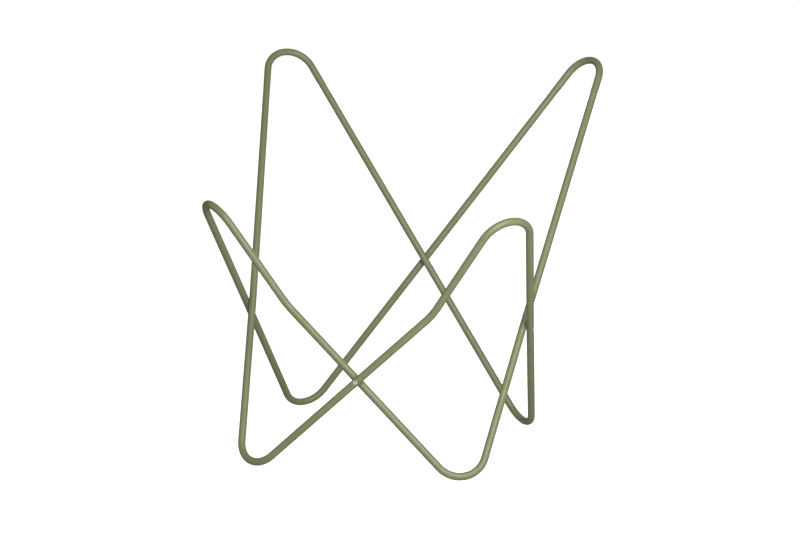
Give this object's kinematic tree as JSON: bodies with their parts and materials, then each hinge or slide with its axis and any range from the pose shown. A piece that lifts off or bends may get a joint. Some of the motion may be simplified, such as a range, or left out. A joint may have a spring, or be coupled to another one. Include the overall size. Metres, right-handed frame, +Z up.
{
  "type": "magazine rack",
  "caption": "Open wire magazine rack: mirrored closed loops of bent round rod cross in a butterfly shape and are screwed together where they touch.",
  "frame": {"origin": "centre of the rack's box at floor level, under the middle of the magazine space", "axes": "+Z up, -Y to the front where the low corners are, +X to the right; the plane x = 0 mirrors one loop into the other"},
  "size_m": [0.4081, 0.3707, 0.4164],
  "materials": {
    "powder_coat": "satin olive-green powder coat over steel rod",
    "screw_steel": "bright zinc plated"
  },
  "bodies": {
    "root": {"left_loop": "powder_coat", "right_loop": "powder_coat", "front_screw": "screw_steel", "back_screw": "screw_steel", "left_screw": "screw_steel", "right_screw": "screw_steel"}
  },
  "joints": []
}
